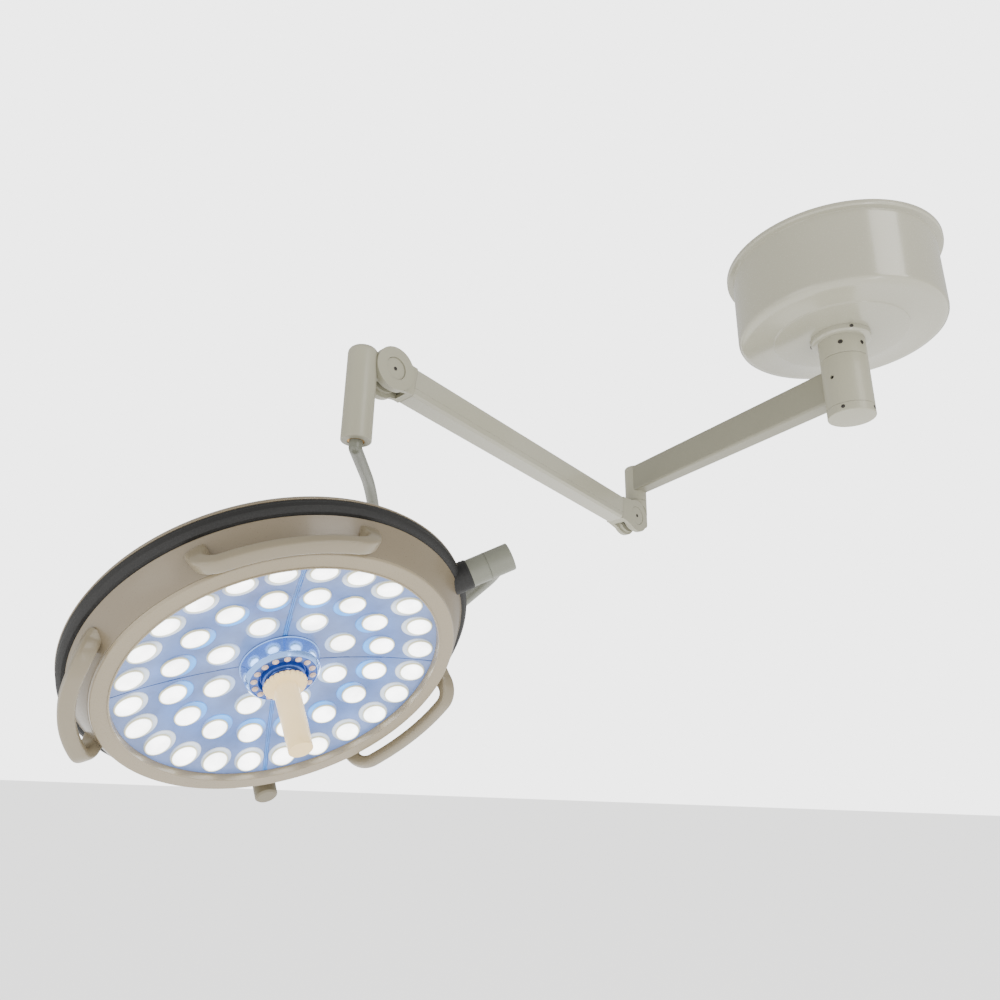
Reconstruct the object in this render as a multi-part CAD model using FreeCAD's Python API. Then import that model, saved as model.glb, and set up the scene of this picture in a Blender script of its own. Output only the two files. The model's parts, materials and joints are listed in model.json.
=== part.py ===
import FreeCAD, Part
import os, math

# Ceiling-mounted dental operating light with one round LED head.
# Frame: origin on the ceiling mounting face, on the main swivel axis; +Z up; millimetres.
os.makedirs("parts", exist_ok=True)
V = FreeCAD.Vector

# ---------------------------------------------------------------- driving dimensions
GAP = 0.35                 # free gap between pieces of different bodies
RUN = 0.05                 # radial running clearance of a bearing
PLATE_R, PLATE_T = 176.0, 12.0
ANCHOR_PCD, ANCHOR_HOLE_R = 300.0, 6.5
CABLE_BORE_R = 30.0
CANOPY_LIP_R, CANOPY_R, CANOPY_H = 206.0, 194.0, 170.0
CANOPY_WALL = 3.0
SPINDLE_R, SPINDLE_BORE_R = 26.0, 12.0
HUB_R = 43.7
HUB_TOP, HUB_BOT, CAP_BOT = -229.6, -336.0, -353.5
ARM_AZ = 2.0390            # azimuth of the extension arm, rad
ARM_L = 648.8
ARM_TOP, ARM_BOT, ARM_W, ARM_WALL = -240.7, -311.2, 42.0, 3.0
BOSS_R = 27.0
KNEE_OFF, KNEE_Z = 33.1, -385.75
SPR_AZ, SPR_EL, SPR_L = -2.40599, 0.12672, 811.44
# elevation hinge of the spring arm
KNEE = (ARM_L * math.cos(ARM_AZ) + KNEE_OFF * math.cos(SPR_AZ), ARM_L * math.sin(ARM_AZ) + KNEE_OFF * math.sin(SPR_AZ), KNEE_Z)
SPR_H1, SPR_H2, SPR_W = 60.6, 64.5, 50.0
KDISC_R, EDISC_R = 42.0, 46.0
ELBOW_OFF, ELBOW_TUBE_R, ELBOW_BOT = 60.27, 29.8, -451.7
LINK_OFF = 18.0            # parallel link pivots below the hinge axes
YOKE_TUBE_R = 12.6
YOKE_R = SPR_L * math.cos(SPR_EL) + ELBOW_OFF
GIM = (KNEE[0] + YOKE_R * math.cos(SPR_AZ), KNEE[1] + YOKE_R * math.sin(SPR_AZ), -804.19)   # point where the three gimbal axes meet
UA = (0.905724, -0.044926, 0.421481)   # head tilt axis, towards its pivot
UN = (0.361595, -0.436942, -0.823608)  # light output direction
HEAD_OFF, HEAD_DEPTH = 114.4, 65.84
PIV_R = 25.0
ARC2_B = 395.0
ARC1_B = 446.0
LIT_R, RING_R, WALL_R, WALL_Z = 272.0, 297.0, 331.0, 52.0
GASKET_R, GASKET_Z = 342.8, 73.0
EDGE_R, BACK_Z = 344.0, 146.0
LENS_R = 20.5
N_OUT, N_MID, N_IN = 24, 16, 8
R_OUT, R_MID, R_IN = 243.0, 176.0, 110.0

# ---------------------------------------------------------------- helpers
def v(p): return V(*p)
def save(name, s):
    if isinstance(s, (list, tuple)):
        s = Part.makeCompound(list(s))
    s.exportStep("parts/%s.step" % name)
def cyl(r, h, p=(0, 0, 0), d=(0, 0, 1)):
    return Part.makeCylinder(r, h, v(p), v(d))
def ring(ro, ri, h, p=(0, 0, 0), d=(0, 0, 1)):
    return cyl(ro, h, p, d).cut(cyl(ri, h + 2, v(p) - v(d).normalize(), d))
def box(x0, x1, y0, y1, z0, z1):
    return Part.makeBox(x1 - x0, y1 - y0, z1 - z0, V(x0, y0, z0))
def frame(o, x, y):
    o, x, y = v(o), v(x).normalize(), v(y).normalize()
    z = x.cross(y)
    return FreeCAD.Placement(FreeCAD.Matrix(x.x, y.x, z.x, o.x, x.y, y.y, z.y, o.y, x.z, y.z, z.z, o.z, 0, 0, 0, 1))
def put(s, pl):
    t = s.copy()
    t.Placement = pl.multiply(t.Placement)
    return t
def outline(pts):
    """Closed wire from (u, w[, corner radius]) points in the XZ plane, corners rounded."""
    n = len(pts)
    P = [V(p[0], 0, p[1]) for p in pts]
    R = [p[2] if len(p) > 2 else 0 for p in pts]
    seg, last = [], None
    ends = []
    for i in range(n):
        a, b, c = P[i - 1], P[i], P[(i + 1) % n]
        if R[i] > 0:
            u1, u2 = (a - b).normalize(), (c - b).normalize()
            ang = u1.getAngle(u2)
            t = R[i] / math.tan(ang / 2)
            p1, p2 = b + u1 * t, b + u2 * t
            bis = (u1 + u2).normalize()
            cen = b + bis * (R[i] / math.sin(ang / 2))
            mid = cen - bis * R[i]
            ends.append((p1, mid, p2))
        else:
            ends.append((b, None, b))
    for i in range(n):
        p1, mid, p2 = ends[i]
        if mid is not None:
            seg.append(Part.Arc(p1, mid, p2).toShape())
        q = ends[(i + 1) % n][0]
        if (q - p2).Length > 1e-6:
            seg.append(Part.makeLine(p2, q))
    return Part.Wire(seg)
def turned(pts):
    return Part.Face(outline(pts)).revolve(V(0, 0, 0), V(0, 0, 1), 360)
def slab(pts, y0, y1):
    """Rounded outline in XZ extruded along Y."""
    f = Part.Face(outline(pts))
    f.translate(V(0, y0, 0))
    return f.extrude(V(0, y1 - y0, 0))
def hexa(af, h, p, d=(0, 0, 1)):
    r = af / math.sqrt(3)
    w = Part.makePolygon([V(r * math.cos(math.radians(60 * k)), r * math.sin(math.radians(60 * k)), 0) for k in range(7)])
    s = Part.Face(w).extrude(V(0, 0, h))
    s.Placement = FreeCAD.Placement(v(p), FreeCAD.Rotation(V(0, 0, 1), v(d)))
    return s
def screw(r_head, h_head, r_sh, l_sh, p, d):
    """Socket-head screw; p is under the head, d points from the shank to the head."""
    d = v(d).normalize()
    s = cyl(r_head, h_head, p, d).fuse(cyl(r_sh, l_sh, v(p) - d * l_sh, d))
    return s.cut(hexa(r_head * 1.0, h_head * 0.6, v(p) + d * h_head * 0.45, d))
def rounded(s, r, pick):
    es = [e for e in s.Edges if pick(e)]
    try:
        t = s.makeFillet(r, es)
        if t.isValid() and t.Volume > 0:
            return t
    except Exception:
        pass
    return s
def polar(r, deg, z=0):
    a = math.radians(deg)
    return V(r * math.cos(a), r * math.sin(a), z)
def spun(f, n, a0=0.0, axis=(0, 0, 1)):
    out = []
    for k in range(n):
        t = f.copy()
        t.rotate(V(0, 0, 0), v(axis), a0 + 360.0 * k / n)
        out.append(t)
    return out
def bent_tube(pts, radii, r):
    """Round bar along a polyline in the XY or XZ plane whose corners are tangent arcs."""
    P = [v(p) for p in pts]
    ends = [(P[0], None, P[0])]
    for k in range(1, len(P) - 1):
        u1, u2 = (P[k - 1] - P[k]).normalize(), (P[k + 1] - P[k]).normalize()
        ang = u1.getAngle(u2)
        t = radii[k - 1] / math.tan(ang / 2)
        bis = (u1 + u2).normalize()
        cen = P[k] + bis * (radii[k - 1] / math.sin(ang / 2))
        ends.append((P[k] + u1 * t, cen - bis * radii[k - 1], P[k] + u2 * t))
    ends.append((P[-1], None, P[-1]))
    seg = []
    for k in range(len(ends)):
        p1, mid, p2 = ends[k]
        if mid is not None:
            seg.append(Part.Arc(p1, mid, p2).toShape())
        if k + 1 < len(ends) and (ends[k + 1][0] - p2).Length > 1e-6:
            seg.append(Part.makeLine(p2, ends[k + 1][0]))
    path = Part.Wire(seg)
    prof = Part.Wire([Part.makeCircle(r, P[0], P[1] - P[0])])
    return path.makePipeShell([prof], True, False)

# ================================================================ ceiling body
plate = cyl(PLATE_R, PLATE_T, (0, 0, -PLATE_T)).cut(cyl(CABLE_BORE_R, PLATE_T + 2, (0, 0, -PLATE_T - 1)))
for h in spun(cyl(ANCHOR_HOLE_R, PLATE_T + 2, (ANCHOR_PCD / 2, 0, -PLATE_T - 1)), 6):
    plate = plate.cut(h)
for h in spun(cyl(5.0, 10, (72, 0, -PLATE_T - 1)), 6, 30):
    plate = plate.cut(h)
for h in spun(cyl(2.5, 8, (158, 0, -PLATE_T - 1)), 3, 30):
    plate = plate.cut(h)
save("ceiling_plate", plate)

spindle = cyl(90, 14, (0, 0, -26)).fuse(cyl(34, 30, (0, 0, -56))).fuse(cyl(SPINDLE_R, 306, (0, 0, -332)))
spindle = spindle.cut(cyl(SPINDLE_BORE_R, 400, (0, 0, -380)))
for h in spun(cyl(5.5, 20, (72, 0, -30)), 6, 30):
    spindle = spindle.cut(h)
# sideways cable exit from the bore, above the hub
spindle = spindle.cut(cyl(7, 40, (0, 0, -110), (0, 1, 0)))
spindle = spindle.cut(cyl(8, 60, (0, 0, -276), (math.cos(ARM_AZ), math.sin(ARM_AZ), 0)))
save("suspension_spindle", spindle)
fbolts = spun(hexa(16, 7, (72, 0, -33)).fuse(cyl(4.9, 13, (72, 0, -26))), 6, 30)

W = CANOPY_WALL
outer = turned([(0, -CANOPY_H - 4), (47, -CANOPY_H - 4), (50, -CANOPY_H - 4), (126, -CANOPY_H - 2.2), (127, -CANOPY_H, 0), (182, -CANOPY_H, 0), (CANOPY_R, -CANOPY_H + 0.0, 15), (CANOPY_R, -13, 1.5),
                (CANOPY_LIP_R, -12.0, 2.0), (CANOPY_LIP_R, -0.5, 1.5), (0, -0.5)])
inner = turned([(0, -CANOPY_H - 4 + W), (124, -CANOPY_H - 2 + W), (128, -CANOPY_H + W), (CANOPY_R - W, -CANOPY_H + W, 12), (CANOPY_R - W, -10), (CANOPY_LIP_R - W, -9), (CANOPY_LIP_R - W, 1), (0, 1)])
canopy = outer.cut(inner).cut(cyl(HUB_R + 0.3, 60, (0, 0, -CANOPY_H - 30)))
save("ceiling_canopy", canopy)
collar = turned([(HUB_R - 3, -188), (HUB_R + 9, -188, 2.5), (HUB_R + 12, -184, 2), (HUB_R + 12, -CANOPY_H - 4.2), (HUB_R + 0.1, -CANOPY_H - 4.2), (HUB_R - 3, -CANOPY_H - 4.2)])
collar = collar.cut(cyl(HUB_R + 0.05, 40, (0, 0, -200)))
coll_dirs = [-95, 25, 145]
cs = []
for a in coll_dirs:
    d = polar(1, a)
    collar = collar.cut(cyl(2.1, 30, d * 36 + V(0, 0, -181), d)).cut(cyl(3.6, 20, d * (HUB_R + 9) + V(0, 0, -181), d))
    cs.append(screw(3.4, 2.4, 2.0, 8.6, d * (HUB_R + 9.1) + V(0, 0, -181), d))
sleeve = turned([(SPINDLE_R + 0.02, -229.0), (HUB_R, -229.0, 1.0), (HUB_R, -168.0), (SPINDLE_R + 0.02, -168.0)])
ss = []
for a in coll_dirs:
    d = polar(1, a)
    sleeve = sleeve.cut(cyl(2.1, 12, d * 36 + V(0, 0, -181), d))
for a in (-120, -62):
    d = polar(1, a)
    sleeve = sleeve.cut(cyl(2.6, 30, d * 27 + V(0, 0, -206), d)).cut(cyl(4.6, 12, d * (HUB_R - 3) + V(0, 0, -206), d))
    ss.append(screw(4.4, 3.4, 2.5, 12, d * (HUB_R - 2.9) + V(0, 0, -206), d))
save("canopy_collar", collar)
save("bearing_sleeve", sleeve)
save("ceiling_fasteners", fbolts + cs + ss)

psu = box(-70, 70, 98, 150, -98, -42)
psu = rounded(psu, 3, lambda e: True)
psu = psu.cut(box(-60, 60, 120, 124, -99, -94)).cut(cyl(4, 12, (-60, 98, -70), (0, -1, 0)))
for k in range(9):
    psu = psu.cut(box(-56 + 13 * k, -50 + 13 * k, 108, 140, -99, -95))
brk = box(-74, 74, 92, 156, -42, -40).fuse(box(-74, -71, 92, 156, -42, -12)).fuse(box(71, 74, 92, 156, -42, -12))
psu = psu.fuse(brk)
save("power_supply", psu)
save("spindle_nut", ring(36.0, SPINDLE_R + 0.02, 7.0, (0, 0, -331.9)).cut(box(-40, 40, 33.5, 40, -340, -320)).cut(box(-40, 40, -40, -33.5, -340, -320)).fuse(ring(36.5, SPINDLE_R + 0.02, 2.5, (0, 0, -325.0))))

# ================================================================ extension arm body
AX = (math.cos(ARM_AZ), math.sin(ARM_AZ), 0)
AF = frame((0, 0, 0), AX, (-AX[1], AX[0], 0))
hub = turned([(32.0, HUB_BOT), (HUB_R, HUB_BOT), (HUB_R, HUB_TOP, 1.0), (32.0, HUB_TOP)])
hub = hub.cut(cyl(38.0, 14.0, (0, 0, HUB_BOT - 0.1)))
spig = box(30, 92, -ARM_W / 2 + ARM_WALL, ARM_W / 2 - ARM_WALL, ARM_BOT + ARM_WALL, ARM_TOP - ARM_WALL)
spig = rounded(spig, 3, lambda e: abs(e.tangentAt(e.FirstParameter).x) > 0.9)
hub = hub.fuse(put(spig, AF)).cut(cyl(32.0, 200, (0, 0, -330))).cut(cyl(38.0, 14.0, (0, 0, HUB_BOT - 0.1)))
hub = hub.cut(put(box(20, 100, -11, 11, -292, -260), AF))
for a in (0, 180):
    hub = hub.cut(put(cyl(4.0, 30, polar(30, a + 90) + V(0, 0, -276), polar(1, a + 90)), AF))
save("arm_hub", hub)
bz = ring(32.0, SPINDLE_R + RUN, 20, (0, 0, -252)), ring(32.0, SPINDLE_R + RUN, 20, (0, 0, -321.5))
bs = []
for a in (90, 270):
    bs.append(put(cyl(3.9, 14.0, polar(26.4, a) + V(0, 0, -276), polar(1, a)).cut(hexa(4, 5, polar(37, a) + V(0, 0, -276), polar(1, a))), AF))
cap = turned([(0, CAP_BOT), (HUB_R, CAP_BOT, 2.0), (HUB_R, HUB_BOT - 0.6), (37.6, HUB_BOT - 0.6), (37.6, HUB_BOT + 3.0), (34.0, HUB_BOT + 3.0), (34.0, CAP_BOT + 3.5), (0, CAP_BOT + 3.5)])
cps = []
for a in (-135, -48, 60):
    d = polar(1, a)
    cap = cap.cut(cyl(2.1, 20, d * 32 + V(0, 0, -344), d)).cut(cyl(3.8, 12, d * (HUB_R - 2) + V(0, 0, -344), d))
    cps.append(screw(3.6, 2.4, 2.0, 9, d * (HUB_R - 1.9) + V(0, 0, -344), d))
save("hub_end_cap", cap)

def box_tube(x0, x1, w, z0, z1, wall, r):
    o = rounded(box(x0, x1, -w / 2, w / 2, z0, z1), r, lambda e: abs(e.tangentAt(e.FirstParameter).x) > 0.9)
    i = rounded(box(x0 - 1, x1 + 1, -w / 2 + wall, w / 2 - wall, z0 + wall, z1 - wall), max(r - wall, 1.0), lambda e: abs(e.tangentAt(e.FirstParameter).x) > 0.9)
    return o.cut(i)
arm = box_tube(36, ARM_L - 12, ARM_W, ARM_BOT, ARM_TOP, ARM_WALL, 6.0).cut(cyl(HUB_R + 0.02, 200, (0, 0, -370))).cut(cyl(BOSS_R + 0.02, 200, (ARM_L, 0, -370)))
save("extension_arm_tube", put(arm, AF))
BT = -238.0
boss = rounded(box(ARM_L - 60, ARM_L - 20, -ARM_W / 2 + ARM_WALL + 0.05, ARM_W / 2 - ARM_WALL - 0.05, ARM_BOT + ARM_WALL + 0.05, ARM_TOP - ARM_WALL - 0.05), 3.4, lambda e: abs(e.tangentAt(e.FirstParameter).x) > 0.9)
bcore = turned([(0, -335), (BOSS_R, -335), (BOSS_R, BT, 9), (0, BT)])
bcore.translate(V(ARM_L, 0, 0))
boss = boss.fuse(bcore)
boss = boss.cut(cyl(18.0, 94.2, (ARM_L, 0, -336))).cut(cyl(5.0, 20, (ARM_L, 0, -250))).cut(box(ARM_L - 70, ARM_L - 5, -9, 9, -290, -262))
bd = polar(1, -100)
boss = boss.cut(cyl(2.6, 20, V(ARM_L, 0, -322) + bd * 15, bd)).cut(cyl(4.4, 12, V(ARM_L, 0, -322) + bd * (BOSS_R - 2.5), bd))
save("arm_end_boss", put(boss, AF))
arm_scr = bs + cps
arm_scr.append(put(screw(4.2, 3.0, 2.5, 6.2, V(ARM_L, 0, -322) + bd * (BOSS_R - 2.4), bd), AF))
save("arm_screws", arm_scr)
save("arm_bushes", list(bz) + [put(ring(18.0, 14.0 + RUN, 16, (ARM_L, 0, -335)), AF), put(ring(18.0, 14.0 + RUN, 16, (ARM_L, 0, -262)), AF)])

# ================================================================ knuckle body
SX = (math.cos(SPR_AZ), math.sin(SPR_AZ), 0)
M = (-SX[1], SX[0], 0)     # not used for direction of view; right-handed side normal
KF = frame(KNEE, SX, M)
neck = cyl(BOSS_R - 0.3, 14, (-KNEE_OFF, 0, 36.0)).fuse(cyl(14.0, 96, (-KNEE_OFF, 0, 38.0))).fuse(cyl(17.4, 3, (-KNEE_OFF, 0, 139.8))).fuse(cyl(14.0, 6, (-KNEE_OFF, 0, 134)))
neck = rounded(neck, 2, lambda e: False)
barrel = cyl(36.0, 28, (0, -14, 0), (0, 1, 0)).fuse(slab([(-KNEE_OFF - 26, 12, 6), (-8, 12), (-8, 36.5), (-4, 36.5), (-4, 38), (-KNEE_OFF - 26, 38)], -14, 14)).fuse(slab([(-KNEE_OFF - 26, -20, 12), (0, -20), (0, 38), (-KNEE_OFF - 26, 38)], -14, 14))
kbody = barrel.fuse(neck).fuse(cyl(BOSS_R - 0.3, 24, (-KNEE_OFF, 0, 14.0)))
kbody = kbody.cut(cyl(13.4, 60, (0, -30, 0), (0, 1, 0)))
# central slot for the parallel link
kbody = kbody.cut(box(-12, 60, -5.6, 5.6, -60, -7.0)).cut(cyl(4.0, 60, (0, -30, -LINK_OFF), (0, 1, 0)))
kbody = kbody.cut(box(14.6, 60, -5.6, 5.6, -60, 60))
kbody = kbody.cut(cyl(5.0, 90, (-KNEE_OFF, 0, 50)))
# the post boss clears the round cheeks of the spring arm on both sides
kbody = kbody.cut(cyl(KDISC_R + 0.5, 40, (0, 14.05, 0), (0, 1, 0))).cut(cyl(KDISC_R + 0.5, 40, (0, -14.05, 0), (0, -1, 0)))
save("knuckle_body", put(kbody, KF))
save("link_pin_lower", put(cyl(3.95, 27, (0, -13.5, -LINK_OFF), (0, 1, 0)), KF))
save("knee_bushes", [put(ring(13.4, 10.0 + RUN, 8.2, (0, -14, 0), (0, 1, 0)), KF), put(ring(13.4, 10.0 + RUN, 8.2, (0, 5.8, 0), (0, 1, 0)), KF)])

# ================================================================ spring arm body
D = (math.cos(SPR_EL) * SX[0], math.cos(SPR_EL) * SX[1], math.sin(SPR_EL))
SF = frame(KNEE, D, M)
L = SPR_L
def fork(xc, R, x1, yo, yi, h, flip):
    """End casting: two round cheeks joined to a spigot that enters the beam."""
    s = 1 if not flip else -1
    c = cyl(R, 2 * yo, (xc, -yo, 0), (0, 1, 0))
    body = box(min(xc, x1), max(xc, x1), -yo, yo, -h, h)
    f = c.fuse(body)
    f = f.cut(cyl(max(R - 5.0, 37.0), 2 * yi, (xc, -yi, 0), (0, 1, 0)))
    return f
H1, H2 = SPR_H1 / 2, SPR_H2 / 2
lower = cyl(KDISC_R, SPR_W, (0, -25, 0), (0, 1, 0)).fuse(slab([(0, -KDISC_R + 4), (52, -H1 + 0.5), (60, -H1 + 0.5), (60, H1 - 0.5), (52, H1 - 0.5), (0, KDISC_R - 4)], -25, 25))
lower = lower.fuse(box(58, 96, -19, 19, -24.4, 24.4))
lower = lower.cut(box(-80, 42, -14.35, 14.35, -80, 80)).cut(box(40, 110, -6.5, 6.5, -24.5 + 3, -6.5)).cut(box(40, 66, -14.35, 14.35, -24.5 + 2.2, 24))
lower = lower.cut(cyl(10.02, 70, (0, -35, 0), (0, 1, 0))).cut(cyl(24.0, 6, (0, -25.1, 0), (0, 1, 0)).fuse(cyl(24.0, 6, (0, 19.1, 0), (0, 1, 0)))).cut(cyl(6.2, 60, (60, 0, 8), (1, 0, 0)))
save("spring_arm_lower_fork", put(lower, SF))
def capdisc(xc, y, s, r=23.8):
    c = Part.makeCylinder(r, 5.0, V(xc, y, 0), V(0, s, 0))
    c = rounded(c, 1.2, lambda e: abs(e.CenterOfMass.y - (y + s * 5.0)) < 0.01)
    c = c.cut(cyl(2.1, 12, (xc, y - s, 0), (0, s, 0))).cut(cyl(4.0, 6, (xc, y + s * 3.4, 0), (0, s, 0)))
    return c
def capscrew(xc, y, s):
    return screw(3.8, 2.2, 2.0, 3.0, (xc, y + s * 3.5, 0), (0, s, 0))
beam = box_tube(64, L - 62, 43.0, -27.0, 27.0, 2.4, 4.0)
beam = beam.cut(box(60, 98, -19.1, 19.1, -24.5, 24.5)).cut(box(L - 98, L - 50, -19.1, 19.1, -24.5, 24.5))
save("spring_arm_beam", put(beam, SF))
# upper end casting, cheeks outside the elbow barrel
EYO, EYI = 31.0, 16.35
upper = cyl(EDISC_R, 2 * EYO, (L, -EYO, 0), (0, 1, 0)).fuse(slab([(L - 56, -H2 + 0.4), (L - 44, -H2 + 0.4), (L, -EDISC_R + 3), (L, EDISC_R - 3), (L - 44, H2 - 0.4), (L - 56, H2 - 0.4)], -25, 25)).fuse(box(L - 96, L - 54, -19, 19, -24.4, 24.4))
upper = upper.cut(box(L - 42, L + 80, -EYI, EYI, -80, 80)).cut(box(L - 110, L - 40, -6.5, 6.5, -21.8, -6.5)).cut(box(L - 66, L - 38, -EYI, EYI, -22.2, 26)).cut(cyl(6.2, 60, (L - 110, 0, 8), (1, 0, 0)))
upper = upper.cut(cyl(10.02, 90, (L, -45, 0), (0, 1, 0))).cut(cyl(24.0, 8, (L, -EYO - 0.1, 0), (0, 1, 0))).cut(cyl(24.0, 8, (L, EYO - 7.9, 0), (0, 1, 0)))
save("spring_arm_upper_fork", put(upper, SF))
save("hinge_pins", [put(cyl(10.0, 38.0, (0, -19, 0), (0, 1, 0)), SF), put(cyl(10.0, 46.0, (L, -23, 0), (0, 1, 0)), SF)])
save("hinge_cap_discs", [put(capdisc(0, 19.2, 1), SF), put(capdisc(0, -19.2, -1), SF), put(capdisc(L, 23.2, 1), SF), put(capdisc(L, -23.2, -1), SF)])
save("cap_disc_screws", [put(capscrew(0, 19.2, 1), SF), put(capscrew(0, -19.2, -1), SF), put(capscrew(L, 23.2, 1), SF), put(capscrew(L, -23.2, -1), SF)])
# two-part outer cover, chamfered, split along a seam
def cover(zsplit, up):
    w, t = SPR_W / 2, 1.8
    def sect(x, h, d):
        ch = 5.0
        pts = [(-w + d, -h + ch), (-w + ch + 0.0, -h + d), (w - ch, -h + d), (w - d, -h + ch), (w - d, h - ch), (w - ch, h - d), (-w + ch, h - d), (-w + d, h - ch)]
        return Part.makePolygon([V(x, p[0], p[1]) for p in pts + pts[:1]])
    o = Part.makeLoft([sect(60.3, H1, 0), sect(L - 56.3, H2, 0)], True, True)
    i = Part.makeLoft([sect(60.3 - 0.5, H1, t), sect(L - 56.3 + 0.5, H2, t)], True, True)
    s = o.cut(i)
    # lips that rest on the beam
    s = s.cut(box(0, L + 50, -60, 60, -80, zsplit + 0.15) if up else box(0, L + 50, -60, 60, zsplit - 0.15, 80))
    return s
save("spring_arm_top_cover", put(cover(-14.0, True), SF))
save("spring_arm_bottom_cover", put(cover(-14.0, False), SF))
# balance spring inside the beam
SPZ, SPX0, SPX1 = 8.0, 130.0, 520.0
hx = Part.makeHelix(12.0, SPX1 - SPX0, 12.5)
prof = Part.Wire([Part.makeCircle(2.0, V(12.5, 0, 0), V(0, 1, 0))])
spring = Part.Wire(hx.Edges).makePipeShell([prof], True, True)
spring.Placement = FreeCAD.Placement(V(SPX0, 0, SPZ), FreeCAD.Rotation(V(0, 0, 1), V(1, 0, 0)))
save("balance_spring", put(spring, SF))
save("spring_rod", put(cyl(6.0, SPX1 + 60 - 64, (64, 0, SPZ), (1, 0, 0)), SF))
save("spring_fittings", [put(ring(16.0, 6.1, SPX0 - 3 - 96.2, (96.2, 0, SPZ), (1, 0, 0)), SF), put(ring(16.0, 6.1, 6, (SPX1 + 3, 0, SPZ), (1, 0, 0)), SF),
                         put(hexa(24, 12, (SPX1 + 10, 0, SPZ), (1, 0, 0)).cut(cyl(6.1, 20, (SPX1 + 5, 0, SPZ), (1, 0, 0))), SF)])

# ================================================================ parallel link body
kd, ed = V(*KNEE) + V(0, 0, -LINK_OFF), V(*KNEE) + V(*D) * L + V(0, 0, -LINK_OFF)
LF = frame((kd.x, kd.y, kd.z), D, M)
link = box(0, L, -4.5, 4.5, -2.9, 2.9).fuse(cyl(7.0, 9, (0, -4.5, 0), (0, 1, 0))).fuse(cyl(7.0, 9, (L, -4.5, 0), (0, 1, 0)))
link = link.cut(cyl(3.95 + RUN, 20, (0, -10, 0), (0, 1, 0))).cut(cyl(4.45, 20, (L, -10, 0), (0, 1, 0)))
save("parallel_link", put(link, LF))

# ================================================================ elbow body
EP = V(*KNEE) + V(*D) * L
EF = frame((EP.x, EP.y, EP.z), SX, M)
EB = ELBOW_BOT - EP.z
eb = cyl(38.0, 32, (0, -16, 0), (0, 1, 0)).fuse(slab([(0, -30), (ELBOW_OFF, -30), (ELBOW_OFF, 26), (0, 26)], -16, 16))
col = turned([(0, EB), (ELBOW_TUBE_R, EB, 3.0), (ELBOW_TUBE_R, 30, 13), (0, 30)])
col.translate(V(ELBOW_OFF, 0, 0))
eb = eb.fuse(col)
eb = eb.cut(box(-60, 46.6, -5.6, 5.6, -60, -7.0)).cut(box(-60, -7.5, -5.6, 5.6, -60, 60))
eb = eb.cut(cyl(13.4, 60, (0, -30, 0), (0, 1, 0))).cut(cyl(4.0, 60, (0, -30, -LINK_OFF), (0, 1, 0)))
eb = eb.cut(cyl(17.0, 120, (ELBOW_OFF, 0, EB - 1))).cut(cyl(8.0, 40, (ELBOW_OFF, 0, EB + 100)))
eb = eb.cut(cyl(EDISC_R + 0.5, 40, (0, EYI - 0.3, 0), (0, 1, 0))).cut(cyl(EDISC_R + 0.5, 40, (0, -EYI + 0.3, 0), (0, -1, 0)))
ebd = polar(1, -112)
eb = eb.cut(cyl(2.6, 30, V(ELBOW_OFF, 0, EB + 70) + ebd * 15, ebd)).cut(cyl(4.8, 12, V(ELBOW_OFF, 0, EB + 70) + ebd * (ELBOW_TUBE_R - 3), ebd))
save("elbow_casting", put(eb, EF))
save("elbow_screw", put(screw(4.6, 3.4, 2.5, 9, V(ELBOW_OFF, 0, EB + 70) + ebd * (ELBOW_TUBE_R - 2.9), ebd), EF))
ebush = [put(ring(13.4, 10.0 + RUN, 10.2, (0, -16, 0), (0, 1, 0)), EF), put(ring(13.4, 10.0 + RUN, 10.2, (0, 5.8, 0), (0, 1, 0)), EF)]
save("link_pin_upper", put(cyl(3.95, 31, (0, -15.5, -LINK_OFF), (0, 1, 0)), EF))
save("elbow_bushes", ebush + [put(ring(17.0, 13.0 + RUN, 18, (ELBOW_OFF, 0, EB + 1.0)), EF), put(ring(17.0, 13.0 + RUN, 18, (ELBOW_OFF, 0, EB + 84)), EF)])

# ================================================================ first yoke body (swivels under the elbow)
G = V(*GIM)
ua = V(*UA).normalize()
ub = V(-ua.y, ua.x, 0).normalize()        # horizontal gimbal axis
un = V(*UN).normalize()
YF = FreeCAD.Placement(FreeCAD.Matrix(ub.x, -ub.y, 0, G.x, ub.y, ub.x, 0, G.y, 0, 0, 1, G.z, 0, 0, 0, 1))
def yk(s): return put(s, YF)
top = ELBOW_BOT - G.z                      # underside of the elbow tube above the gimbal point
spg = cyl(13.0, 104, (0, 0, top + 0.4)).fuse(cyl(13.0, 18, (0, 0, top - 14.0))).fuse(cyl(16.2, 3, (0, 0, top + 103.0)))
spg = spg.cut(cyl(5.0, 120, (0, 0, top + 4)))
ztop = top - 14.0
arc1 = bent_tube([(0, 0, ztop), (ARC1_B, 0, ztop), (ARC1_B, 0, 10.0)], [306.0], YOKE_TUBE_R).fuse(Part.makeSphere(YOKE_TUBE_R, V(0, 0, ztop)))
hubB = (ARC1_B - 22, ARC1_B + 26)
save("outer_yoke", yk(spg.fuse(arc1).cut(cyl(PIV_R + 0.02, 80, (hubB[0] - 10, 0, 0), (1, 0, 0)))))
hb = cyl(PIV_R, hubB[1] - hubB[0], (hubB[0], 0, 0), (1, 0, 0))
hb = rounded(hb, 2.0, lambda e: abs(e.CenterOfMass.x - hubB[1]) < 0.01)
hb = hb.cut(cyl(16.0, hubB[1] - hubB[0] - 6, (hubB[0] - 1, 0, 0), (1, 0, 0)))
save("roll_hub_outer", yk(hb))
save("roll_bush", yk(ring(16.0, 12.0 + RUN, 30, (hubB[0] + 2, 0, 0), (1, 0, 0))))

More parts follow.
